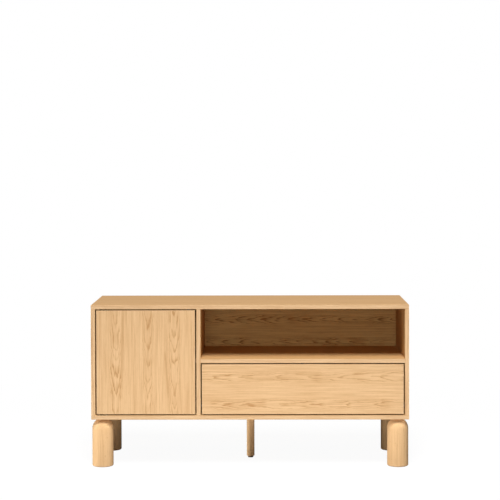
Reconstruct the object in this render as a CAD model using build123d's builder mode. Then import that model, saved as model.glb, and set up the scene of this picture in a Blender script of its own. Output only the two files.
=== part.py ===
from build123d import *
from math import sqrt
import os

os.makedirs("parts", exist_ok=True)

# A low TV cabinet on four round, dome-topped corner legs and a slim middle leg.
# Left bay: one inset door. Right bay: an open niche over one wide inset drawer.
# Frame: +X right, -Y the front, +Z up, origin on the floor under the middle.

# ------------------------------------------------------------ driving sizes (mm)
width = 1200  # outside, over the side panels
depth = 400  # outside, front faces to back panel
leg_height = 180.5  # floor to the underside of the carcass
board = 16  # every oak-veneered board
door_bay_width = 382  # clear width of the left bay
niche_height = 188  # clear height of the open niche
drawer_bay_height = 197.5  # clear height of the drawer bay
reveal = 4.5  # shadow gap all round the door and the drawer front
arris = 0.8  # eased edge of every board

back_thickness = 5  # back panel, let in flush with the rear edges
back_rebate = 10  # how far the back laps onto the boards round it
back_fit = 0.5  # play all round the back panel in its rebate

leg_diameter = 80  # solid oak corner legs
leg_seat = 12  # radius of the flat on top of a leg's round dome
leg_foot_chamfer = 3
middle_leg_diameter = 30
bolt_radius = 4  # M8 hanger bolt
bolt_in_leg = 45
bolt_in_board = 11
foot_radius = 10.5  # levelling foot of the middle leg
foot_height = 6
foot_gap = 0.3  # foot to the end of the middle leg
foot_stem = 25

tongue = 4  # thickness of the loose tongues that join the boards
tongue_in_face = 8
tongue_in_end = 12
tongue_inset = 30  # tongues stop short of the front and rear edges
glue_room = 0.5  # spare depth round a tongue, and past the end of a bolt
press_play = 0.05  # play of tongues and bolts in their holes

hinge_inset = 9  # pivot axis in from the hinge edge of the door
leaf_length = 44
leaf_width = 12
leaf_thickness = 2.5
leaf_fit = 0.1  # play round a leaf in its recess
pin_radius = 3
pin_short = 0.3  # pin's end inside the far face of the door leaf
collar_radius = 5  # washer that keeps the leaves apart
collar_play = 0.1  # washer to the door leaf
running_play = 0.05  # radial play of pins and axles in their bores

latch_drop = 12  # plunger axis below the board that carries the latch
latch_wall = 6  # housing below the axis, and to each side of it
latch_length = 42
latch_flange = 3
latch_flange_width = 34
plunger_radius = 4
plunger_play = 0.08
plunger_length = 34
plunger_stroke = 3  # press-in travel that frees the catch
plunger_show = 4  # plunger in front of its housing at rest
plunger_gap = 0.3  # plunger to the plate that it meets
strike_size = 14  # square steel plate that the plunger meets
strike_thickness = 1
door_latch_inset = 30  # latch axis from the divider

shelf_setback = 30  # inner shelf behind the door
shelf_housing = 5  # how far the inner shelf is let into the boards at its ends

runner_space = 12.5  # drawer bay side to drawer side
sheet = 1.2  # runner steel
runner_start = 2  # rail behind the back of the drawer front
runner_rear_room = 27  # rail to the back panel
runner_overlap = 80  # stretch of rail and slide that still overlap when the drawer is open
roller_radius = 8
roller_width = 7
roller_offset = 2.8  # roller from the rail's back
roller_play = 0.2  # roller to the flange it rolls on
roller_inset = 10  # roller axes from the ends of rail and slide
axle_radius = 2.5
axle_head_radius = 4
axle_head = 0.6
axle_side_play = 0.1
slide_rise = 22  # slide's rolling flange over the drawer side's lower edge
rail_flange = 10  # width of the track
rail_hook = 3.7  # width of the flange that keeps the rear roller down
flange_gap = 1.2  # rail hook to the slide's rolling flange
bend = 0.6  # outside radius of the runner's folds
stop_height = 2
stop_length = 4
stop_width = 4

drawer_lift = 20  # drawer sides above the inside floor
drawer_side_height = 130
drawer_side = 12  # thickness of the drawer's sides and back
drawer_bottom_thickness = 5
groove_height = 12
groove_depth = 6
joint_play = 0.1  # play of the drawer's boards in their grooves and housings
dovetail_depth = 7  # sliding dovetails between the sides and the front
dovetail_neck = 6  # width where the tail leaves the side
dovetail_end = 9
back_setback = 10  # drawer back from the rear ends of the sides
housing_depth = 4  # drawer back into the sides

# ------------------------------------------------------------ levels and faces
front = -depth / 2
rear = depth / 2
left_in = -width / 2 + board
right_in = width / 2 - board
divider_left = left_in + door_bay_width
divider_right = divider_left + board
inside_floor = leg_height + board
shelf_under = inside_floor + drawer_bay_height
shelf_top = shelf_under + board
ceiling = shelf_top + niche_height
total_height = ceiling + board
back_face = rear - back_thickness
front_back = front + board  # back face of the door and of the drawer front

# A location's own +Z points out of the face that it lies on.
FACING_DOWN = (180, 0, 0)
FACING_RIGHT = (0, 90, 0)
FACING_LEFT = (0, -90, 0)
FACING_FRONT = (90, 0, 0)


def at(points, facing):
    """Locations at the points, turned so that their +Z faces one way."""
    return [Location(point, facing) for point in points]


def block(low, high, mode=Mode.ADD):
    """A square-edged board between its lowest and highest corners."""
    size = [end - start for start, end in zip(low, high)]
    with Locations(tuple(low)):
        Box(*size, align=(Align.MIN, Align.MIN, Align.MIN), mode=mode)


def turned(profile):
    """A turned piece, from (radius, height) points of its outline, about +Z."""
    with BuildPart() as piece:
        with BuildSketch(Plane.XZ):
            with BuildLine():
                Polyline((0, profile[0][1]), *profile, (0, profile[-1][1]), close=True)
            make_face()
        revolve(axis=Axis.Z)
    return piece.part


# ------------------------------------------------------------ where the fittings go
upright_xs = [left_in - board / 2, divider_left + board / 2, right_in + board / 2]
shelf_mid = shelf_under + board / 2
tongue_front = front + tongue_inset
tongue_rear = back_face - tongue_inset

# Each loose tongue as its lowest and highest corner, with the axis that it is thin along.
tongues = []
for x in upright_xs:
    for face, up in ((inside_floor, 1), (ceiling, -1)):
        z_ends = sorted((face - up * tongue_in_face, face + up * tongue_in_end))
        tongues.append((
            (x - tongue / 2, tongue_front, z_ends[0]),
            (x + tongue / 2, tongue_rear, z_ends[1]),
            0,
        ))
for face, right in ((divider_right, 1), (right_in, -1)):
    x_ends = sorted((face - right * tongue_in_face, face + right * tongue_in_end))
    tongues.append((
        (x_ends[0], tongue_front, shelf_mid - tongue / 2),
        (x_ends[1], tongue_rear, shelf_mid + tongue / 2),
        2,
    ))

leg_radius = leg_diameter / 2
leg_centres = [
    (x, y) for x in (-width / 2 + leg_radius, width / 2 - leg_radius)
    for y in (front + leg_radius, rear - leg_radius)
]
bolt_centres = [*leg_centres, (0, 0)]

hinge_x = left_in + reveal + hinge_inset
hinge_y = front + board / 2
leaf_mid_x = hinge_x + (leaf_length - leaf_width) / 2
door_top = ceiling - reveal
door_foot = inside_floor + reveal
door_middle = Plane.XY.offset((inside_floor + ceiling) / 2)
pin_length = reveal + leaf_thickness - pin_short

tip_y = front_back + strike_thickness + plunger_gap
door_latch_point = (divider_left - door_latch_inset, tip_y, ceiling - latch_drop)
drawer_latch_point = ((divider_right + right_in) / 2, tip_y, shelf_under - latch_drop)

inner_shelf_foot = (inside_floor + ceiling - board) / 2
inner_shelf_low = (left_in - shelf_housing, front_back + shelf_setback, inner_shelf_foot)
inner_shelf_high = (divider_left + shelf_housing, back_face, inner_shelf_foot + board)

side_foot = inside_floor + drawer_lift
side_top = side_foot + drawer_side_height
rolling_flange = side_foot + slide_rise  # underside, on the front roller
roller_z = rolling_flange - roller_play - roller_radius
track = roller_z - roller_radius - roller_play  # the rail's upper running face
rail_front = front_back + runner_start
rail_rear = back_face - runner_rear_room
runner_length = rail_rear - rail_front
drawer_travel = runner_length - runner_overlap
drawer_rear = front_back + runner_length
front_roller_y = rail_front + roller_inset
rear_roller_y = drawer_rear - roller_inset
bay_middle = Plane.YZ.offset((divider_right + right_in) / 2)
drawer_left = divider_right + runner_space
drawer_right = right_in - runner_space
slide_face = drawer_left - sheet  # outer face of the slide's web


def leaf_outline(play=0.0):
    """The round-ended outline of a hinge leaf, one end about the pivot."""
    with Locations((leaf_mid_x, hinge_y)):
        SlotOverall(leaf_length + 2 * play, leaf_width + 2 * play)


def cut_tongue_grooves():
    """Grooves for every tongue that reaches into the board being made."""
    for low, high, thin_axis in tongues:
        room = [press_play if axis == thin_axis else glue_room for axis in range(3)]
        groove_low = [start - play for start, play in zip(low, room)]
        groove_high = [end + play for end, play in zip(high, room)]
        block(groove_low, groove_high, mode=Mode.SUBTRACT)


def cut_inner_shelf_housing():
    """The housing for the inner shelf, in the board being made."""
    play = (press_play, press_play, 0)
    housing_low = [start - room for start, room in zip(inner_shelf_low, play)]
    housing_high = [end + room for end, room in zip(inner_shelf_high, play)]
    block(housing_low, housing_high, mode=Mode.SUBTRACT)


# ------------------------------------------------------------ carcass
with BuildPart() as top_panel:
    block((-width / 2, front, ceiling), (width / 2, rear, total_height))
    chamfer(top_panel.edges(), arris)
    block(
        (left_in - back_rebate, back_face, ceiling),
        (right_in + back_rebate, rear, ceiling + back_rebate),
        mode=Mode.SUBTRACT,
    )
    cut_tongue_grooves()
    with BuildSketch(Plane.XY.offset(ceiling)):
        leaf_outline(leaf_fit)
    extrude(amount=leaf_thickness, mode=Mode.SUBTRACT)
top_panel.part.label = "top_panel"
export_step(top_panel.part, "parts/top_panel.step")

with BuildPart() as bottom_panel:
    block((-width / 2, front, leg_height), (width / 2, rear, inside_floor))
    chamfer(bottom_panel.edges(), arris)
    block(
        (left_in - back_rebate, back_face, inside_floor - back_rebate),
        (right_in + back_rebate, rear, inside_floor),
        mode=Mode.SUBTRACT,
    )
    cut_tongue_grooves()
    with BuildSketch(Plane.XY.offset(inside_floor)):
        leaf_outline(leaf_fit)
    extrude(amount=-leaf_thickness, mode=Mode.SUBTRACT)
    with Locations(*at([(x, y, leg_height) for x, y in bolt_centres], FACING_DOWN)):
        Hole(bolt_radius + press_play, bolt_in_board + glue_room)
bottom_panel.part.label = "bottom_panel"
export_step(bottom_panel.part, "parts/bottom_panel.step")

with BuildPart() as left_side_panel:
    block((-width / 2, front, inside_floor), (left_in, rear, ceiling))
    chamfer(left_side_panel.edges().filter_by(Axis.Z), arris)
    chamfer(left_side_panel.edges().filter_by(Axis.Y).group_by(Axis.X)[0], arris)
    block(
        (left_in - back_rebate, back_face, inside_floor),
        (left_in, rear, ceiling),
        mode=Mode.SUBTRACT,
    )
    cut_tongue_grooves()
    cut_inner_shelf_housing()
left_side_panel.part.label = "left_side_panel"
export_step(left_side_panel.part, "parts/left_side_panel.step")

with BuildPart() as right_side_panel:
    block((right_in, front, inside_floor), (width / 2, rear, ceiling))
    chamfer(right_side_panel.edges().filter_by(Axis.Z), arris)
    chamfer(right_side_panel.edges().filter_by(Axis.Y).group_by(Axis.X)[-1], arris)
    block(
        (right_in, back_face, inside_floor),
        (right_in + back_rebate, rear, ceiling),
        mode=Mode.SUBTRACT,
    )
    cut_tongue_grooves()
right_side_panel.part.label = "right_side_panel"
export_step(right_side_panel.part, "parts/right_side_panel.step")

with BuildPart() as divider_panel:
    block((divider_left, front, inside_floor), (divider_right, back_face, ceiling))
    chamfer(divider_panel.edges().filter_by(Axis.Z).group_by(Axis.Y)[0], arris)
    cut_tongue_grooves()
    cut_inner_shelf_housing()
divider_panel.part.label = "divider_panel"
export_step(divider_panel.part, "parts/divider_panel.step")

with BuildPart() as fixed_shelf:
    block((divider_right, front, shelf_under), (right_in, back_face, shelf_top))
    chamfer(fixed_shelf.edges().filter_by(Axis.X).group_by(Axis.Y)[0], arris)
    cut_tongue_grooves()
fixed_shelf.part.label = "fixed_shelf"
export_step(fixed_shelf.part, "parts/fixed_shelf.step")

with BuildPart() as back_panel:
    block(
        (left_in - back_rebate + back_fit, back_face, inside_floor - back_rebate + back_fit),
        (right_in + back_rebate - back_fit, rear, ceiling + back_rebate - back_fit),
    )
back_panel.part.label = "back_panel"
export_step(back_panel.part, "parts/back_panel.step")

with BuildPart() as carcass_tongues:
    for tongue_low, tongue_high, _ in tongues:
        block(tongue_low, tongue_high)
carcass_tongues.part.label = "carcass_tongues"
export_step(carcass_tongues.part, "parts/carcass_tongues.step")

# ------------------------------------------------------------ inner shelf of the left bay
with BuildPart() as inner_shelf:
    block(inner_shelf_low, inner_shelf_high)
    chamfer(inner_shelf.edges().filter_by(Axis.X).group_by(Axis.Y)[0], arris)
inner_shelf.part.label = "inner_shelf"
export_step(inner_shelf.part, "parts/inner_shelf.step")

# ------------------------------------------------------------ legs
# The dome is a hemisphere as wide as the leg, cut flat where the carcass rests on it.
dome_rise = sqrt(leg_radius**2 - leg_seat**2)

with BuildPart() as corner_leg:
    with BuildSketch(Plane.XZ):
        with BuildLine():
            dome = RadiusArc(
                (leg_seat, leg_height),
                (leg_radius, leg_height - dome_rise),
                leg_radius,
            )
            Polyline(
                dome @ 0,
                (0, leg_height),
                (0, 0),
                (leg_radius - leg_foot_chamfer, 0),
                (leg_radius, leg_foot_chamfer),
                dome @ 1,
            )
        make_face()
    revolve(axis=Axis.Z)
    with Locations((0, 0, leg_height)):
        Hole(bolt_radius + press_play, bolt_in_leg + glue_room)
with BuildPart() as corner_legs:
    with Locations(*leg_centres):
        add(corner_leg.part)
corner_legs.part.label = "corner_legs"
export_step(corner_legs.part, "parts/corner_legs.step")

middle_leg_foot = foot_height + foot_gap
with BuildPart() as middle_leg:
    with BuildSketch(Plane.XY.offset(middle_leg_foot)):
        Circle(middle_leg_diameter / 2)
    extrude(amount=leg_height - middle_leg_foot)
    with Locations((0, 0, leg_height)):
        Hole(bolt_radius + press_play, bolt_in_leg + glue_room)
    with Locations(Location((0, 0, middle_leg_foot), FACING_DOWN)):
        Hole(bolt_radius + running_play, foot_stem + glue_room)
middle_leg.part.label = "middle_leg"
export_step(middle_leg.part, "parts/middle_leg.step")

with BuildPart() as levelling_foot:
    Cylinder(foot_radius, foot_height, align=(Align.CENTER, Align.CENTER, Align.MIN))
    with BuildSketch(Plane.XY.offset(foot_height)):
        Circle(bolt_radius)
    extrude(amount=foot_gap + foot_stem)
levelling_foot.part.label = "levelling_foot"
export_step(levelling_foot.part, "parts/levelling_foot.step")

with BuildPart() as leg_bolts:
    with BuildSketch(Plane.XY.offset(leg_height)):
        with Locations(*bolt_centres):
            Circle(bolt_radius)
    extrude(amount=bolt_in_board)
    extrude(leg_bolts.faces().filter_by(Axis.Z).group_by(Axis.Z)[0], amount=bolt_in_leg)
leg_bolts.part.label = "leg_bolts"
export_step(leg_bolts.part, "parts/leg_bolts.step")

# ------------------------------------------------------------ door
with BuildPart() as door_panel:
    block(
        (left_in + reveal, front, door_foot),
        (divider_left - reveal, front_back, door_top),
    )
    chamfer(door_panel.edges(), arris)
    with BuildSketch(Plane.XY.offset(door_top)):
        leaf_outline(leaf_fit)
    extrude(amount=-leaf_thickness, mode=Mode.SUBTRACT)
    with BuildSketch(Plane.XY.offset(door_foot)):
        leaf_outline(leaf_fit)
    extrude(amount=leaf_thickness, mode=Mode.SUBTRACT)
door_panel.part.label = "door_panel"
export_step(door_panel.part, "parts/door_panel.step")

# Pivot hinges, let in flush at the top and the bottom of the door. The upper pair is drawn
# and the lower one is its mirror image.
with BuildPart() as hinge_frame_leaves:
    with BuildSketch(Plane.XY.offset(ceiling)):
        leaf_outline()
    extrude(amount=leaf_thickness)
    with BuildSketch(Plane.XY.offset(ceiling)) as collar:
        with Locations((hinge_x, hinge_y)):
            Circle(collar_radius)
    extrude(amount=collar_play - reveal)
    with BuildSketch(Plane.XY.offset(ceiling)) as pin:
        with Locations((hinge_x, hinge_y)):
            Circle(pin_radius)
    extrude(amount=-pin_length)
    mirror(about=door_middle)
hinge_frame_leaves.part.label = "hinge_frame_leaves"
export_step(hinge_frame_leaves.part, "parts/hinge_frame_leaves.step")

with BuildPart() as hinge_door_leaves:
    with BuildSketch(Plane.XY.offset(door_top)):
        leaf_outline()
        with Locations((hinge_x, hinge_y)):
            Circle(pin_radius + running_play, mode=Mode.SUBTRACT)
    extrude(amount=-leaf_thickness)
    mirror(about=door_middle)
hinge_door_leaves.part.label = "hinge_door_leaves"
export_step(hinge_door_leaves.part, "parts/hinge_door_leaves.step")

# ------------------------------------------------------------ push latches
# One latch, with its axis along Y on the origin and its plunger's tip at Y = 0.
with BuildPart() as latch_housing:
    block(
        (-latch_wall, plunger_show, -latch_wall),
        (latch_wall, plunger_show + latch_length, latch_drop),
    )
    chamfer(latch_housing.edges().filter_by(Axis.Y).group_by(Axis.Z)[0], arris)
    flange_half = latch_flange_width / 2
    block(
        (-flange_half, plunger_show + latch_length / 4, latch_drop - latch_flange),
        (flange_half, plunger_show + latch_length * 3 / 4, latch_drop),
    )
    bore_depth = plunger_length - plunger_show + plunger_stroke + glue_room
    with Locations(Location((0, plunger_show, 0), FACING_FRONT)):
        Hole(plunger_radius + plunger_play, bore_depth)

latch_plunger = turned([(plunger_radius, -plunger_length), (plunger_radius, 0)])

for latch_name, latch_point in (("door", door_latch_point), ("drawer", drawer_latch_point)):
    with BuildPart() as housing:
        with Locations(latch_point):
            add(latch_housing.part)
    housing.part.label = f"{latch_name}_latch_housing"
    export_step(housing.part, f"parts/{latch_name}_latch_housing.step")

    with BuildPart() as plunger:
        with Locations(Location(latch_point, FACING_FRONT)):
            add(latch_plunger)
    plunger.part.label = f"{latch_name}_latch_plunger"
    export_step(plunger.part, f"parts/{latch_name}_latch_plunger.step")

    with BuildPart() as strike:
        strike_z = latch_point[2]
        block(
            (latch_point[0] - strike_size / 2, front_back, strike_z - strike_size / 2),
            (latch_point[0] + strike_size / 2, front_back + strike_thickness, strike_z + strike_size / 2),
        )
    strike.part.label = f"{latch_name}_strike_plate"
    export_step(strike.part, f"parts/{latch_name}_strike_plate.step")

# ------------------------------------------------------------ drawer runners
# Each side has a C-shaped rail on the cabinet and a Z-shaped slide under the drawer's side.
# The slide's top flange rolls on a roller at the front end of the rail, and a roller at the
# rear end of the slide rolls inside the rail. The left pair is drawn, the right is mirrored.
roller_left = divider_right + roller_offset
roller_right = roller_left + roller_width

with BuildPart() as left_runner_rail:
    with BuildSketch(Plane.XZ.offset(-rail_rear)):
        with BuildLine():
            Polyline(
                (divider_right + rail_flange, track - sheet),
                (divider_right, track - sheet),
                (divider_right, rolling_flange + sheet),
                (divider_right + rail_hook, rolling_flange + sheet),
            )
            offset(amount=sheet, side=Side.RIGHT)
        make_face()
    extrude(amount=runner_length)
    folds = left_runner_rail.edges().filter_by(Axis.Y).group_by(Axis.X)[0]
    fillet(folds, bend)
    stop_y = rear_roller_y - drawer_travel - roller_radius - roller_play - stop_length
    stop_x = divider_right + rail_flange / 2
    block(
        (stop_x - stop_width / 2, stop_y, track),
        (stop_x + stop_width / 2, stop_y + stop_length, track + stop_height),
    )
left_runner_rail.part.label = "left_runner_rail"
export_step(left_runner_rail.part, "parts/left_runner_rail.step")

with BuildPart() as left_runner_slide:
    with BuildSketch(Plane.XZ.offset(-drawer_rear)):
        with BuildLine():
            Polyline(
                (drawer_left + drawer_side, side_foot - sheet),
                (slide_face, side_foot - sheet),
                (slide_face, rolling_flange),
                (divider_right + rail_hook + flange_gap, rolling_flange),
            )
            offset(amount=sheet, side=Side.RIGHT)
        make_face()
    extrude(amount=runner_length)
left_runner_slide.part.label = "left_runner_slide"
export_step(left_runner_slide.part, "parts/left_runner_slide.step")

with BuildPart() as right_runner_rail:
    mirror(left_runner_rail.part, about=bay_middle)
right_runner_rail.part.label = "right_runner_rail"
export_step(right_runner_rail.part, "parts/right_runner_rail.step")

with BuildPart() as right_runner_slide:
    mirror(left_runner_slide.part, about=bay_middle)
right_runner_slide.part.label = "right_runner_slide"
export_step(right_runner_slide.part, "parts/right_runner_slide.step")

with BuildPart() as roller:
    Cylinder(roller_radius, roller_width, align=(Align.CENTER, Align.CENTER, Align.MIN))
    Hole(axle_radius + running_play)


def axle(stand):
    """A roller axle: a collar on the sheet, a journal and a head that keeps the roller on."""
    head_start = stand + roller_width + 2 * axle_side_play
    return turned([
        (axle_radius, 0),
        (axle_radius, head_start),
        (axle_head_radius, head_start),
        (axle_head_radius, head_start + axle_head),
    ])


front_stand = roller_offset - axle_side_play - sheet  # sheet to roller
rear_stand = slide_face - roller_right - axle_side_play
front_axle_place = Location((divider_right + sheet, front_roller_y, roller_z), FACING_RIGHT)
rear_axle_place = Location((slide_face, rear_roller_y, roller_z), FACING_LEFT)

for axles_name, axle_place, stand in (
    ("front_roller_axles", front_axle_place, front_stand),
    ("rear_roller_axles", rear_axle_place, rear_stand),
):
    with BuildPart() as axles:
        with Locations(axle_place):
            add(axle(stand))
        mirror(about=bay_middle)
    axles.part.label = axles_name
    export_step(axles.part, f"parts/{axles_name}.step")

for rollers_name, roller_y in (("front_rollers", front_roller_y), ("rear_rollers", rear_roller_y)):
    with BuildPart() as rollers:
        with Locations(Location((roller_left, roller_y, roller_z), FACING_RIGHT)):
            add(roller.part)
        mirror(about=bay_middle)
    rollers.part.label = rollers_name
    export_step(rollers.part, f"parts/{rollers_name}.step")

# ------------------------------------------------------------ drawer
groove_foot = side_foot + groove_height
groove_top = groove_foot + drawer_bottom_thickness + joint_play
inner_left = drawer_left + drawer_side
inner_right = drawer_right - drawer_side
bottom_left = inner_left - groove_depth
bottom_right = inner_right + groove_depth
back_rear = drawer_rear - back_setback
back_front = back_rear - drawer_side
left_side_mid = drawer_left + drawer_side / 2


def dovetail(play, foot, height):
    """The tail on the front end of the left side, upright from foot through height."""
    neck = dovetail_neck / 2 + play
    end = dovetail_end / 2 + play
    tail_y = front_back - dovetail_depth - play
    with BuildSketch(Plane.XY.offset(foot)) as tail:
        with BuildLine():
            Polyline(
                (left_side_mid - neck, front_back),
                (left_side_mid - end, tail_y),
                (left_side_mid + end, tail_y),
                (left_side_mid + neck, front_back),
                close=True,
            )
        make_face()
    return extrude(tail.sketch, amount=height, mode=Mode.PRIVATE)


front_foot = inside_floor + reveal
tail_room = dovetail(joint_play, front_foot, side_top - front_foot)

with BuildPart() as drawer_front:
    block(
        (divider_right + reveal, front, front_foot),
        (right_in - reveal, front_back, shelf_under - reveal),
    )
    chamfer(drawer_front.edges(), arris)
    block(
        (bottom_left, front_back - groove_depth, groove_foot),
        (bottom_right, front_back, groove_top),
        mode=Mode.SUBTRACT,
    )
    add(tail_room, mode=Mode.SUBTRACT)
    add(tail_room.mirror(bay_middle), mode=Mode.SUBTRACT)
drawer_front.part.label = "drawer_front"
export_step(drawer_front.part, "parts/drawer_front.step")

with BuildPart() as drawer_left_side:
    block((drawer_left, front_back, side_foot), (inner_left, drawer_rear, side_top))
    chamfer(drawer_left_side.edges().filter_by(Axis.Y).group_by(Axis.Z)[-1], arris)
    add(dovetail(0, side_foot, side_top - side_foot))
    block(
        (bottom_left, front_back - dovetail_depth, groove_foot),
        (inner_left, drawer_rear, groove_top),
        mode=Mode.SUBTRACT,
    )
    block(
        (inner_left - housing_depth, back_front - joint_play, groove_foot),
        (inner_left, back_rear + joint_play, side_top),
        mode=Mode.SUBTRACT,
    )
drawer_left_side.part.label = "drawer_left_side"
export_step(drawer_left_side.part, "parts/drawer_left_side.step")

with BuildPart() as drawer_right_side:
    mirror(drawer_left_side.part, about=bay_middle)
drawer_right_side.part.label = "drawer_right_side"
export_step(drawer_right_side.part, "parts/drawer_right_side.step")

with BuildPart() as drawer_back:
    block(
        (inner_left - housing_depth + joint_play, back_front, groove_top),
        (inner_right + housing_depth - joint_play, back_rear, side_top - arris),
    )
drawer_back.part.label = "drawer_back"
export_step(drawer_back.part, "parts/drawer_back.step")

with BuildPart() as drawer_bottom:
    block(
        (bottom_left + joint_play, front_back - groove_depth + joint_play, groove_foot),
        (bottom_right - joint_play, drawer_rear, groove_foot + drawer_bottom_thickness),
    )
drawer_bottom.part.label = "drawer_bottom"
export_step(drawer_bottom.part, "parts/drawer_bottom.step")
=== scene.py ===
import math
from collections import Counter

import bmesh
import bpy
from mathutils import Matrix, Vector


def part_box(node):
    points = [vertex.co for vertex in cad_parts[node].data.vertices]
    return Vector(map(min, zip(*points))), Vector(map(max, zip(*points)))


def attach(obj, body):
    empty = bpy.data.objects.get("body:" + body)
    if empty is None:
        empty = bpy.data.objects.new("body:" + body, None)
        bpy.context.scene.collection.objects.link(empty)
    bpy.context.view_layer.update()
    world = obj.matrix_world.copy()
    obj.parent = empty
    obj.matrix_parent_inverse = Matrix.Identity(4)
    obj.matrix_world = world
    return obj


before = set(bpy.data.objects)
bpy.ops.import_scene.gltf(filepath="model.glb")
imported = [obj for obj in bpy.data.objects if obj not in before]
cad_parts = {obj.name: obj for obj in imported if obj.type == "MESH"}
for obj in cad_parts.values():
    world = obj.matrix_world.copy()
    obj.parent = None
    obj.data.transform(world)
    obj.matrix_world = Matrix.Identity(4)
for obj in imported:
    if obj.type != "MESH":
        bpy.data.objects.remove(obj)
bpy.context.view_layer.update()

# The looks of an oak tv stand. Lengths are in metres, in the CAD's frame: X right, Y to the back, Z up.
X, Y, Z = 0, 1, 2
MM = 0.001


def middle(part, axis):
    """The middle of a part's box along an axis."""
    low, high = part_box(part)
    return (low[axis] + high[axis]) / 2


def srgb(red, green, blue):
    """The linear colour of an 8-bit screen colour."""
    def channel(value):
        value /= 255
        return value / 12.92 if value <= 0.04045 else ((value + 0.055) / 1.055) ** 2.4
    return (channel(red), channel(green), channel(blue), 1.0)


# ---------------------------------------------------------------- shader building

class Value:
    """A number or colour that a shader works out at each point. Numbers take part in sums as plain ones do.

    A comparison is 1 where it holds and 0 elsewhere.
    """

    def __init__(self, shader, socket):
        self.shader = shader
        self.socket = socket

    def __add__(self, other):
        return self.shader.math("ADD", self, other)

    def __radd__(self, other):
        return self.shader.math("ADD", other, self)

    def __sub__(self, other):
        return self.shader.math("SUBTRACT", self, other)

    def __rsub__(self, other):
        return self.shader.math("SUBTRACT", other, self)

    def __mul__(self, other):
        return self.shader.math("MULTIPLY", self, other)

    def __truediv__(self, other):
        return self.shader.math("DIVIDE", self, other)

    def __abs__(self):
        return self.shader.math("ABSOLUTE", self)

    def __gt__(self, limit):
        return self.shader.math("GREATER_THAN", self, limit)

    def __lt__(self, limit):
        return self.shader.math("LESS_THAN", self, limit)

    def ramp(self, start, end):
        """0 below start and 1 above end, smooth between them."""
        limits = {"Value": self, "From Min": start, "From Max": end}
        return self.shader.result("ShaderNodeMapRange", 0, limits, interpolation_type="SMOOTHSTEP")


class Shader:
    """A material under construction, built up from the values that its nodes put out."""

    def __init__(self, name, **plain):
        self.material = bpy.data.materials.new(name)
        self.material.use_nodes = True
        self.tree = self.material.node_tree
        self.surface = self.tree.nodes["Principled BSDF"]
        for label, value in plain.items():
            self.surface.inputs[label.replace("_", " ")].default_value = value

    def put(self, socket, value):
        """Joins a value to an input, or writes a plain number or colour there."""
        if isinstance(value, Value):
            self.tree.links.new(value.socket, socket)
        else:
            socket.default_value = value

    def node(self, kind, inputs=(), **settings):
        """Adds a node. Its inputs are given by their place or name."""
        made = self.tree.nodes.new(kind)
        for label, setting in settings.items():
            setattr(made, label, setting)
        for label, value in dict(inputs).items():
            self.put(made.inputs[label], value)
        return made

    def result(self, kind, output, inputs=(), **settings):
        """Adds a node and returns the value that one of its outputs gives."""
        return Value(self, self.node(kind, inputs, **settings).outputs[output])

    def math(self, operation, *values):
        return self.result("ShaderNodeMath", 0, enumerate(values), operation=operation)

    def between(self, amount, low, high):
        """The number low where amount is 0 and high where it is 1."""
        return self.result("ShaderNodeMix", 0, {0: amount, 2: low, 3: high}, data_type="FLOAT")

    def tint(self, amount, low, high):
        """The colour low where amount is 0 and high where it is 1."""
        return self.result("ShaderNodeMix", 2, {0: amount, 6: low, 7: high}, data_type="RGBA")

    def axes(self, coordinate):
        """The X, Y and Z of the point's place, for Object, or of its surface's direction, for Normal."""
        vector = self.result("ShaderNodeTexCoord", coordinate)
        return [Value(self, socket) for socket in self.node("ShaderNodeSeparateXYZ", {0: vector}).outputs]

    def noise(self, *parts, seed=0.0, detail=2.0, roughness=0.5):
        """Noise over two or three parts, each a value and how many features there are to one unit of it.

        With two parts, seed picks one pattern out of many.
        """
        spots = [value * scale for value, scale in parts]
        spot = self.result("ShaderNodeCombineXYZ", 0, enumerate([*spots, seed][:3]))
        inputs = {"Vector": spot, "Scale": 1.0, "Detail": detail, "Roughness": roughness}
        return self.result("ShaderNodeTexNoise", 0, inputs)

    def finish(self, colour, rough, height, relief):
        """Joins the results to the surface. relief is the depth in metres of a full step of height."""
        self.put(self.surface.inputs["Base Color"], colour)
        self.put(self.surface.inputs["Roughness"], rough)
        bump = self.result("ShaderNodeBump", 0, {"Height": height, "Distance": relief, "Strength": 1.0})
        self.put(self.surface.inputs["Normal"], bump)
        return self.material


def seed_of(name):
    """A steady number from a name, to set one board's noise apart from another's."""
    return 11.3 + sum(ord(letter) for letter in name) % 97 * 0.37


# ---------------------------------------------------------------- wood

LACQUER = {"Specular_IOR_Level": 0.0, "Coat_Weight": 0.04, "Coat_Roughness": 0.35}
SQUARE = 0.7  # a face is square to an axis where more than this share of its direction lies along it

# Tones of the wood: (pale, dark)
OAK = srgb(240, 201, 153), srgb(197, 149, 99)
LIPPING = srgb(238, 200, 155), srgb(196, 151, 104)
# a darker tone for the top panel's upper face: painted shade, standing in for the dimmer light that falls on
# its level face
TOP_WITH_PAINTED_SHADE = srgb(225, 184, 135), srgb(181, 134, 85)
# a darker tone, painted shade for the faces inside the carcass; the back panel's rear face takes it too
INSIDE_WITH_PAINTED_SHADE = srgb(219, 177, 123), srgb(172, 124, 74)
# a darker, more saturated tone for the back panel's front face: painted shade for the back of the niche
BACK_WITH_PAINTED_SHADE = srgb(230, 188, 122), srgb(160, 112, 54)
LEG = srgb(250, 209, 158), srgb(213, 164, 111)
BIRCH = srgb(232, 209, 172), srgb(176, 134, 88)


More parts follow.
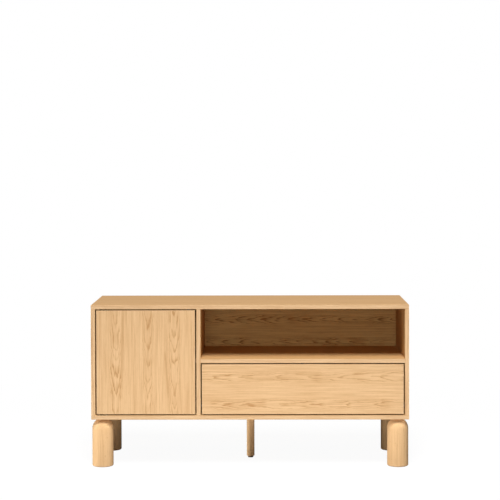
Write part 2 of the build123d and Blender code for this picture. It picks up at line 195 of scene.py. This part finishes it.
def leaf_flames(s, run, side, number, off, strand, flame, taper, seed):
    """The rows of nested flames up the middles of the leaves: their outlines, and how dark their hearts are.

    run is the place along the grain, side the place across it, number the leaf's own, and off the distance
    from the leaf's middle. flame is a flame's length, and taper how far off its sides have run back by it.
    """
    width = s.noise((run, 7), (number, 3.1), seed=seed + 5.0, detail=1)
    skip = s.noise((run, 9), (number, 5.3), seed=seed + 7.0)
    aside = off / (0.35 * taper + width * (1.3 * taper))
    ring = s.math("FRACT", aside * aside - run * (1 / flame) + strand * 1.1 + skip * 2.2)
    before_next = 1.0 - ring.ramp(0.93, 1.0)
    outline = ring.ramp(0.62, 0.90) * before_next
    filling = ring.ramp(0.15, 0.90) * before_next
    patchy = s.noise((run, 24), (side, 55), seed=seed + 6.0).ramp(0.34, 0.66)
    heavy = s.noise((run, 13), (number, 4.7), seed=seed + 8.0, detail=1).ramp(0.46, 0.66)
    flames = outline * (0.15 + patchy * 0.50) + filling * heavy * (0.08 + strand * 0.65)
    return outline, flames * (1.0 - abs(off).ramp(0.8 * taper, 2.0 * taper))


def veneer(board, grain, across, leaf, centre, flame, taper, figure, tip=1, slip=0.0, outer=OAK,
           inner=INSIDE_WITH_PAINTED_SHADE, inward=0, marks=()):
    """Oak veneer in slip-matched leaves, each with a row of nested flames up its middle.

    grain and across are the axes of the board's face, leaf is a leaf's width and centre the middle of one.
    leaf_flames says what flame and taper are, and figure is how strongly they show. The flames' tips point
    down the grain axis where tip is 1 and up it where it is -1, and slip sets every other leaf's aside. The
    ends of the board, square to its grain, carry a band whose grain runs along the edge. The face on the
    inward side of the board, or each face where inward is 0, has the inner tones. Each mark is a dark streak
    on the other face: (across, along, half length, lean).
    """
    s = Shader("oak_" + board, **LACQUER)
    seed = seed_of(board)
    spot, facing = s.axes("Object"), s.axes("Normal")
    thick = 3 - grain - across
    end = abs(facing[grain]) > SQUARE
    along = s.between(end, spot[grain], spot[across])
    side = s.between(end, spot[across] + spot[thick], spot[thick])

    # side counts the place in the board's thickness too, and so does the middle of a leaf
    leaves = (side - (centre + middle(board, thick))) / leaf
    number = s.math("FLOOR", leaves + 0.5)
    leaf_step = 0.019
    run = along * tip + number * leaf_step
    sway = s.noise((run, 8), (side, 14), seed=seed, detail=3)
    off = (leaves - number) * leaf + s.math("PINGPONG", number, 1.0) * slip + (sway - 0.5) * (16 * MM)
    strand = s.noise((run, 14), (side, 230), seed=seed + 2.0, detail=3, roughness=0.6)
    outline, flames = leaf_flames(s, run, side, number, off, strand, flame, taper, seed)

    streak = s.noise((along, 5), (side, 420), seed=seed, detail=3, roughness=0.6)
    stripe = s.noise((along, 6), (side, 170), seed=seed + 3.0, detail=3, roughness=0.7)
    broad = s.noise((along, 2.5), (side, 24), seed=seed + 9.0)
    pores = s.noise((along, 55), (side, 1500), seed=seed + 2.0, detail=1).ramp(0.58, 0.74)
    long_edge = abs(facing[across]) > SQUARE
    shade = (flames * figure + outline * (0.10 * figure) + (stripe - 0.5) * long_edge * 1.4
             + (streak - 0.5) * (0.35 * (1 + figure)) + (stripe - 0.5) * (1.25 * figure)
             + (broad - 0.5) * (0.45 * figure) + pores * 0.22 + 0.20)

    flat = abs(facing[thick])
    inside = (facing[thick] * inward if inward else flat) > SQUARE
    for mark_across, mark_along, reach, lean in marks:
        beyond = along - mark_along
        wander = beyond * -lean + (sway - 0.5) * (8 * MM)
        away = abs(spot[across] - mark_across + wander)
        mark = (1.0 - away.ramp(1 * MM, 6 * MM)) * (1.0 - abs(beyond).ramp(0.6 * reach, reach))
        shade += mark * (1.0 - inside) * (0.10 + strand * 0.45)

    # arrises, whose direction lies between two axes, are made paler: a painted highlight for the light that
    # the eased edges catch
    arris_highlight = abs(facing[X] * facing[Y]) + abs(facing[Y] * facing[Z]) + abs(facing[Z] * facing[X])
    shade = (shade - arris_highlight.ramp(0.3, 0.5) * 0.35).ramp(-0.30, 1.1)
    # the inner tones are darker than the outer oak: painted shade for the insides of the carcass
    face = s.tint(inside, s.tint(shade, *outer), s.tint(shade, *inner))
    colour = s.tint(flat < SQUARE, face, s.tint(shade, *LIPPING))
    rough = 0.42 + pores * 0.12 + streak * 0.06
    return s.finish(colour, rough, 1.0 - (pores * 0.7 + outline * 0.3), 0.12 * MM)


def turned_oak(name):
    """Turned oak, its grain upright: growth rings round a heart outside the legs, pores and small rays."""
    s = Shader(name, **LACQUER)
    x, y, z = s.axes("Object")
    heart_x, heart_y = -0.9, 0.55
    rings_per_metre = 240
    dx = x - heart_x
    dy = y - heart_y
    bend = s.noise((x, 9), (y, 9), (z, 4)) * (16 * MM)
    radius = s.math("SQRT", dx * dx + dy * dy) + bend
    line = s.math("FRACT", radius * rings_per_metre).ramp(0.35, 1.0)
    streak = s.noise((x, 380), (y, 380), (z, 7), detail=3, roughness=0.6)
    broad = s.noise((x, 30), (y, 30), (z, 3))
    pores = s.noise((x, 900), (y, 900), (z, 60), detail=1).ramp(0.60, 0.76)
    ray = s.noise((x, 260), (y, 260), (z, 130), detail=1).ramp(0.69, 0.80)
    shade = line * 0.20 + (streak - 0.5) * 0.9 + pores * 0.25 + (broad - 0.5) * 0.5 + ray * 0.55 + 0.2
    colour = s.tint(shade.ramp(-0.25, 1.1), *LEG)
    return s.finish(colour, 0.40 + pores * 0.15, 1.0 - (pores * 0.8 + line * 0.2), 0.10 * MM)


def birch_ply(board, grain, thick, layers):
    """Pale birch plywood, whose layers along the axis thick show on its edges."""
    s = Shader("ply_" + board, Specular_IOR_Level=0.3)
    spot, facing = s.axes("Object"), s.axes("Normal")
    across = 3 - grain - thick
    low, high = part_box(board)
    per_metre = layers / (high[thick] - low[thick])
    place_in_pair = s.math("MODULO", (spot[thick] - low[thick]) * per_metre, 2.0)
    dark_layer = (place_in_pair > 1.0) * (abs(facing[thick]) < SQUARE)
    streak = s.noise((spot[grain], 6), (spot[across], 260), (spot[thick], 260), detail=3)
    cloud = s.noise((spot[grain], 7), (spot[across], 25), seed=seed_of("ply_" + board), detail=3)
    pore = s.noise((spot[grain], 70), (spot[across], 900), (spot[thick], 900))
    shade = dark_layer * 0.65 + streak * 0.35 + cloud * 0.35 + pore.ramp(0.62, 0.75) * 0.2
    colour = s.tint(shade.ramp(0.1, 1.3), *BIRCH)
    return s.finish(colour, 0.48 + streak * 0.12, 1.0 - pore, 0.05 * MM)


# ---------------------------------------------------------------- metal and plastic

def fitting(name, colour, roughness, metallic=0.0, stretch=(1, 1, 1), scale=900, relief=0.01 * MM):
    """A fitting's finish, whose gloss and tone vary a little.

    Its fine marks come at scale to the metre, and at a share of that, set by stretch, along each axis.
    """
    s = Shader(name, Metallic=metallic)
    spot = s.axes("Object")
    fine = s.noise(*((spot[axis], scale * stretch[axis]) for axis in (X, Y, Z)), detail=3)
    cloud = s.noise(*((spot[axis], 45) for axis in (X, Y, Z)), detail=3)
    worn = tuple(channel * 0.84 for channel in colour[:3]) + (1.0,)
    tone = s.tint((fine * 0.5 + cloud * 0.5).ramp(0.3, 0.7), colour, worn)
    rough = roughness - 0.06 + cloud * 0.12 + fine * 0.05
    return s.finish(tone, rough, fine, relief)


# ---------------------------------------------------------------- boards and fittings of the CAD

FLAT = dict(grain=X, across=Y, leaf=0.150, flame=0.110, taper=0.013)
UPRIGHT = dict(grain=Z, across=Y, leaf=0.130, flame=0.070, taper=0.015)
DOOR_MARKS = (-0.483, 0.430, 0.200, 0.04), (-0.314, 0.350, 0.100, -0.07)
VENEERS = {
    "top_panel": dict(FLAT, centre=0.050, figure=0.25, outer=TOP_WITH_PAINTED_SHADE, inward=-1),
    "bottom_panel": dict(FLAT, centre=0.050, figure=0.4),
    "left_side_panel": dict(UPRIGHT, centre=0.020, figure=0.9, inward=1),
    "right_side_panel": dict(UPRIGHT, centre=-0.045, figure=0.9, inward=-1),
    "divider_panel": dict(UPRIGHT, centre=0.035, figure=0.8),
    "fixed_shelf": dict(FLAT, centre=0.040, figure=0.4, tip=-1),
    "inner_shelf": dict(FLAT, centre=0.040, figure=0.4),
    "door_panel": dict(grain=Z, across=X, leaf=0.1105, centre=-0.3925, flame=0.067, taper=0.015, figure=0.9,
                       slip=0.011, inward=1, marks=DOOR_MARKS),
    "drawer_front": dict(grain=X, across=Z, leaf=0.105, centre=0.334, flame=0.125, taper=0.013, figure=0.9,
                         inward=1),
    "back_panel": dict(grain=X, across=Z, leaf=0.090, centre=0.514, flame=0.060, taper=0.012, figure=1.0,
                       outer=INSIDE_WITH_PAINTED_SHADE, inner=BACK_WITH_PAINTED_SHADE, inward=-1),
}
PLYWOODS = {
    "drawer_left_side": dict(grain=Y, thick=X, layers=9),
    "drawer_right_side": dict(grain=Y, thick=X, layers=9),
    "drawer_back": dict(grain=X, thick=Y, layers=9),
    "drawer_bottom": dict(grain=X, thick=Z, layers=5),
    "carcass_tongues": dict(grain=X, thick=Z, layers=5),
}

leg_oak = turned_oak("oak_legs")
steel = fitting("zinc_plated_steel", srgb(196, 196, 194), 0.30, metallic=1.0, stretch=(1, 0.06, 1))
bronze = fitting("bronzed_steel", srgb(96, 74, 54), 0.38, metallic=1.0, stretch=(0.06, 1, 1))
coated = fitting("brown_coated_steel", srgb(88, 66, 46), 0.36, scale=1400, relief=0.006 * MM)
nylon = fitting("white_nylon", srgb(236, 235, 230), 0.45, scale=700)
brown_nylon = fitting("brown_nylon", srgb(72, 56, 42), 0.45, scale=700)
grey = fitting("grey_plastic", srgb(128, 128, 126), 0.48, relief=0.02 * MM)
brown_plastic = fitting("brown_plastic", srgb(118, 86, 54), 0.50, relief=0.02 * MM)
FINISHES = {
    **{board: veneer(board, **looks) for board, looks in VENEERS.items()},
    **{board: birch_ply(board, **looks) for board, looks in PLYWOODS.items()},
    "corner_legs": leg_oak, "middle_leg": leg_oak, "leg_bolts": steel,
    "hinge_frame_leaves": bronze, "hinge_door_leaves": bronze,
    "door_strike_plate": steel, "drawer_strike_plate": steel,
    "left_runner_rail": coated, "right_runner_rail": coated,
    "left_runner_slide": coated, "right_runner_slide": coated,
    "front_roller_axles": steel, "rear_roller_axles": steel,
    "front_rollers": brown_nylon, "rear_rollers": brown_nylon,
    "door_latch_housing": grey, "drawer_latch_housing": grey,
    "door_latch_plunger": nylon, "drawer_latch_plunger": nylon,
    "levelling_foot": brown_plastic,
}
for part, finish in FINISHES.items():
    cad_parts[part].material_slots[0].material = finish


# ---------------------------------------------------------------- screws

def cross_outline(reach, half_slot):
    """The twelve corners of a cross recess, anticlockwise."""
    arm = [(reach, -half_slot), (reach, half_slot), (half_slot, half_slot)]
    turns = [Matrix.Rotation(math.radians(90 * quarter), 2) for quarter in range(4)]
    return [turn @ Vector(corner) for turn in turns for corner in arm]


def screw_mesh(name, head_radius, crown, sink, shank_radius, length):
    """A cross-headed screw that points down its own -Z, with its seat at Z 0.

    crown is how far its head stands above the seat, and sink how far a countersunk head goes below it.
    """
    around = 24
    form = bmesh.new()

    def ring(radius, height):
        steps = [2 * math.pi * step / around for step in range(around)]
        return [form.verts.new((radius * math.cos(a), radius * math.sin(a), height)) for a in steps]

    def wall(lower, upper):
        for step in range(len(lower)):
            after = (step + 1) % len(lower)
            form.faces.new((lower[step], lower[after], upper[after], upper[step]))

    tip_and_shank = [(0.35 * shank_radius, -length), (shank_radius, -0.8 * length), (shank_radius, -sink)]
    flat_seat = [(head_radius, 0.0)] if sink == 0 else []
    head = [(head_radius, 0.35 * crown), (0.86 * head_radius, 0.8 * crown), (0.66 * head_radius, crown)]
    rings = [ring(radius, height) for radius, height in tip_and_shank + flat_seat + head]
    for lower, upper in zip(rings, rings[1:]):
        wall(lower, upper)
    form.faces.new(reversed(rings[0]))

    recess_depth = 0.55 * head_radius
    floor_share = 0.55
    outline = cross_outline(0.52 * head_radius, 0.11 * head_radius)
    mouth = [form.verts.new((*corner, crown)) for corner in outline]
    floor = [form.verts.new((*(corner * floor_share), crown - recess_depth)) for corner in outline]
    wall(floor, mouth)
    form.faces.new(floor)
    rims = rings[-1], mouth
    edges = [form.edges.get(ends) for rim in rims for ends in zip(rim, rim[-1:] + rim[:-1])]
    bmesh.ops.triangle_fill(form, edges=edges, use_beauty=True)
    bmesh.ops.recalc_face_normals(form, faces=form.faces)
    mesh = bpy.data.meshes.new(name)
    form.to_mesh(mesh)
    form.free()
    mesh.materials.append(steel)
    return mesh


wood_screw = screw_mesh("countersunk_screw", head_radius=3.4 * MM, crown=0.25 * MM, sink=2.4 * MM,
                        shank_radius=1.6 * MM, length=14 * MM)
pan_screw = screw_mesh("pan_head_screw", head_radius=3.6 * MM, crown=2.0 * MM, sink=0.0,
                       shank_radius=1.7 * MM, length=12 * MM)
screws_made = Counter()


def screw(mesh, group, body, spot, out, turn):
    """Sets one screw on body, with its seat at spot and its head towards out, turned by turn radians."""
    screws_made[group] += 1
    piece = bpy.data.objects.new(f"{group}_{screws_made[group]}", mesh)
    bpy.context.scene.collection.objects.link(piece)
    facing = Vector(out).to_track_quat("Z", "Y").to_matrix().to_4x4()
    piece.matrix_world = Matrix.Translation(spot) @ facing @ Matrix.Rotation(turn, 4, "Z")
    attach(piece, body)


def evenly(start, end, count):
    """Count places from start to end, at even steps."""
    return [start + (end - start) * step / (count - 1) for step in range(count)]


def back_screws():
    """Screws round the back panel, and into the divider and the two shelves, clear of their ends."""
    edge_inset = 4.75 * MM
    below_face = 0.3 * MM
    low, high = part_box("back_panel")
    left_x, right_x = low[X] + edge_inset, high[X] - edge_inset
    low_z, high_z = low[Z] + edge_inset, high[Z] - edge_inset
    divider_x = middle("divider_panel", X)
    spots = [(x, z) for x in evenly(left_x, right_x, 9) for z in (low_z, high_z)]
    spots += [(x, z) for z in evenly(low_z, high_z, 4)[1:-1] for x in (left_x, right_x)]
    spots += [(divider_x, z) for z in evenly(low_z, high_z, 4)[1:-1]]
    spots += [(x, middle("fixed_shelf", Z)) for x in evenly(divider_x, right_x, 6)[1:-1]]
    spots += [(x, middle("inner_shelf", Z)) for x in evenly(left_x, divider_x, 4)[1:-1]]
    for count, (x, z) in enumerate(spots):
        spot = (x, high[Y] - below_face, z)
        screw(wood_screw, "back_screw", "carcass", spot, (0, 1, 0), turn=0.7 * count)


def hinge_screws():
    """Two screws in each hinge leaf: the carcass's and the door's, at the top and at the bottom."""
    leaf_thickness = 2.5 * MM
    frame_low, frame_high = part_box("hinge_frame_leaves")
    door_low, door_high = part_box("hinge_door_leaves")
    y = middle("hinge_frame_leaves", Y)
    seats = (
        ("frame_hinge_screw", "carcass", frame_high[Z] - leaf_thickness, -1, 0.4),
        ("frame_hinge_screw", "carcass", frame_low[Z] + leaf_thickness, 1, 1.1),
        ("door_hinge_screw", "door", door_high[Z], 1, 0.9),
        ("door_hinge_screw", "door", door_low[Z], -1, 0.2),
    )
    for from_end in (18 * MM, 34 * MM):
        for group, body, z, up, turn in seats:
            screw(wood_screw, group, body, (frame_low[X] + from_end, y, z), (0, 0, up), turn)


def latch_screws():
    """A screw at each end of the two latch housings' flanges, from below."""
    flange_thickness = 3 * MM
    from_middle = 12 * MM
    for latch in ("door_latch_housing", "drawer_latch_housing"):
        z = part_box(latch)[1][Z] - flange_thickness
        for side in (-1, 1):
            spot = (middle(latch, X) + side * from_middle, middle(latch, Y), z)
            screw(pan_screw, "latch_screw", "carcass", spot, (0, 0, -1), turn=0.48 * side)


def runner_screws():
    """Screws through the rails' webs into the carcass, and up through the slides into the drawer's sides.

    Each share is a screw's place along its rail or slide, from the front.
    """
    sheet_thickness = 1.2 * MM
    roller_z = middle("front_rollers", Z)
    for hand, out in (("left", 1), ("right", -1)):
        low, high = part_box(hand + "_runner_rail")
        web = low[X] + sheet_thickness if out > 0 else high[X] - sheet_thickness
        for share in (0.25, 0.75):
            spot = (web, low[Y] + share * (high[Y] - low[Y]), roller_z)
            screw(wood_screw, "rail_screw", "carcass", spot, (out, 0, 0), turn=share)
        low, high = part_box(hand + "_runner_slide")
        side_x = middle("drawer_" + hand + "_side", X)
        for share in (0.12, 0.5, 0.88):
            spot = (side_x, low[Y] + share * (high[Y] - low[Y]), low[Z])
            screw(pan_screw, "slide_screw", "drawer", spot, (0, 0, -1), turn=2 * share)


back_screws()
hinge_screws()
latch_screws()
runner_screws()


# ---------------------------------------------------------------- floor, light and camera

def studio_floor():
    """A pale floor that shows white away from the object, and keeps its shadow."""
    s = Shader("pale_floor", Roughness=0.9, Specular_IOR_Level=0.0)
    x, y = s.axes("Object")[:2]
    out = s.math("SQRT", x * x + y * y)
    camera_ray = s.result("ShaderNodeLightPath", "Is Camera Ray")

    # what the floor throws back on the object: plenty in front of it, little from behind and from far off
    grain = s.noise((x, 60), (y, 60), detail=3)
    pale = s.tint(grain, srgb(186, 186, 186), srgb(190, 190, 190))
    dull = (0.04, 0.04, 0.04, 1)
    behind_or_far = s.math("MAXIMUM", out.ramp(0.7, 1.5), y.ramp(-0.24, 0.0))
    thrown = s.tint(behind_or_far, pale, dull)

    # what the camera sees: a white glow, and near the object a little lit floor, which its shadow takes away
    far = out.ramp(0.9, 2.2)
    faint = (0.07, 0.07, 0.07, 1)
    black = (0, 0, 0, 1)
    seen = s.tint(far, faint, black)
    s.put(s.surface.inputs["Base Color"], s.tint(camera_ray, thrown, seen))
    s.put(s.surface.inputs["Emission Strength"], camera_ray * s.between(far, 0.95, 1.0))
    s.put(s.surface.inputs["Emission Color"], (1, 1, 1, 1))

    half = 30.0
    corners = [(-half, -half, 0), (half, -half, 0), (half, half, 0), (-half, half, 0)]
    mesh = bpy.data.meshes.new("floor")
    mesh.from_pydata(corners, [], [(0, 1, 2, 3)])
    mesh.materials.append(s.material)
    floor = bpy.data.objects.new("floor", mesh)
    bpy.context.scene.collection.objects.link(floor)


def area_lamp(name, azimuth, elevation, distance, width, height, aim, spread, energy):
    """A lamp at a distance from its aim. Angles are in degrees. Azimuth 0 is in front and 90 at the left."""
    light = bpy.data.lights.new(name, "AREA")
    light.shape = "RECTANGLE"
    light.size = width
    light.size_y = height
    light.spread = math.radians(spread)
    light.energy = energy
    azimuth = math.radians(azimuth)
    elevation = math.radians(elevation)
    out = Vector((-math.sin(azimuth) * math.cos(elevation),
                  -math.cos(azimuth) * math.cos(elevation),
                  math.sin(elevation)))
    piece = bpy.data.objects.new(name, light)
    bpy.context.scene.collection.objects.link(piece)
    piece.location = Vector(aim) + out * distance
    piece.rotation_euler = out.to_track_quat("Z", "Y").to_euler()
    piece.visible_camera = False


def lamp(name, azimuth, elevation, distance, width, height, level, aim=(0, 0, 0.35), spread=180):
    """A soft lamp. A surface square to it shows level times its own colour."""
    half = math.radians(spread) / 2
    narrowing = 1 - half / math.tan(half)  # a narrow lamp throws all its energy on less, so it needs less
    energy = level * (math.pi * distance) ** 2 * narrowing
    area_lamp(name, azimuth, elevation, distance, width, height, aim, spread, energy)


def beam(name, azimuth, distance, width, height, level, aim):
    """A lamp that shines horizontally and nearly straight ahead, on no more than it faces.

    A surface square to it shows level times its own colour.
    """
    energy = level * math.pi * width * height
    area_lamp(name, azimuth, 0, distance, width, height, aim, spread=8, energy=energy)


def studio_lamps():
    """The photograph's light, from above, in front and the left, and light for the sides that it hides."""
    lamp("key_lamp", azimuth=0, elevation=58, distance=7.0, width=2.0, height=2.8, level=1.065)
    lamp("front_lamp", azimuth=0, elevation=5, distance=5.0, width=1.6, height=1.0, level=0.15)
    lamp("left_lamp", azimuth=90, elevation=0, distance=4.5, width=0.30, height=0.16, level=0.64,
         aim=(0, 0.16, 0.09), spread=90)
    carcass = (0, 0, 0.39)
    beam("right_beam", azimuth=-90, distance=1.0, width=0.50, height=0.44, level=0.80, aim=carcass)
    beam("back_beam", azimuth=180, distance=0.65, width=1.40, height=0.44, level=0.80, aim=carcass)
    for hand, side in (("left", -1), ("right", 1)):
        beam(hand + "_leg_beam", azimuth=180 + 35 * side, distance=0.60, width=0.10, height=0.16, level=0.60,
             aim=(0.57 * side, 0.17, 0.10))
    lamp("floor_card", azimuth=0, elevation=-90, distance=0.98, width=2.4, height=0.6, level=0.47,
         aim=(0, -0.68, 1.0))


def studio_world(level):
    """White behind the object and in its reflections, and a dim even light on it."""
    world = bpy.data.worlds.new("studio")
    bpy.context.scene.world = world
    world.use_nodes = True
    tree = world.node_tree
    background = tree.nodes["Background"]
    background.inputs["Color"].default_value = (1, 1, 1, 1)
    path = tree.nodes.new("ShaderNodeLightPath")
    seen = path.outputs["Is Camera Ray"]
    for ray in ("Is Glossy Ray", "Is Transmission Ray"):
        larger = tree.nodes.new("ShaderNodeMath")
        larger.operation = "MAXIMUM"
        tree.links.new(seen, larger.inputs[0])
        tree.links.new(path.outputs[ray], larger.inputs[1])
        seen = larger.outputs[0]
    strength = tree.nodes.new("ShaderNodeMapRange")
    strength.inputs["To Min"].default_value = level
    tree.links.new(seen, strength.inputs["Value"])
    tree.links.new(strength.outputs[0], background.inputs["Strength"])


def camera_at(location, turn, dip, roll, lens, drop):
    """A camera that looks along +Y, and is then tipped left by turn, down by dip and anticlockwise by roll.

    The three are in radians. drop slides the frame down by that share of its width, which keeps upright
    edges nearly parallel.
    """
    data = bpy.data.cameras.new("camera")
    data.lens = lens
    data.sensor_width = 36.0
    data.shift_y = -drop
    ahead = Vector((-math.sin(turn) * math.cos(dip), math.cos(turn) * math.cos(dip), -math.sin(dip)))
    right = Vector((math.cos(turn), math.sin(turn), 0))
    up = right.cross(ahead)
    right, up = right * math.cos(roll) + up * math.sin(roll), up * math.cos(roll) - right * math.sin(roll)
    piece = bpy.data.objects.new("camera", data)
    bpy.context.scene.collection.objects.link(piece)
    piece.matrix_world = Matrix.Translation(location) @ Matrix((right, up, -ahead)).transposed().to_4x4()
    bpy.context.scene.camera = piece


studio_floor()
studio_world(level=0.03)
studio_lamps()
camera_at((0.0635, -5.8646, 1.1635), turn=0.0108, dip=0.0198, roll=-0.0027, lens=108.45, drop=0.1222)
bpy.context.scene.view_settings.view_transform = "Standard"
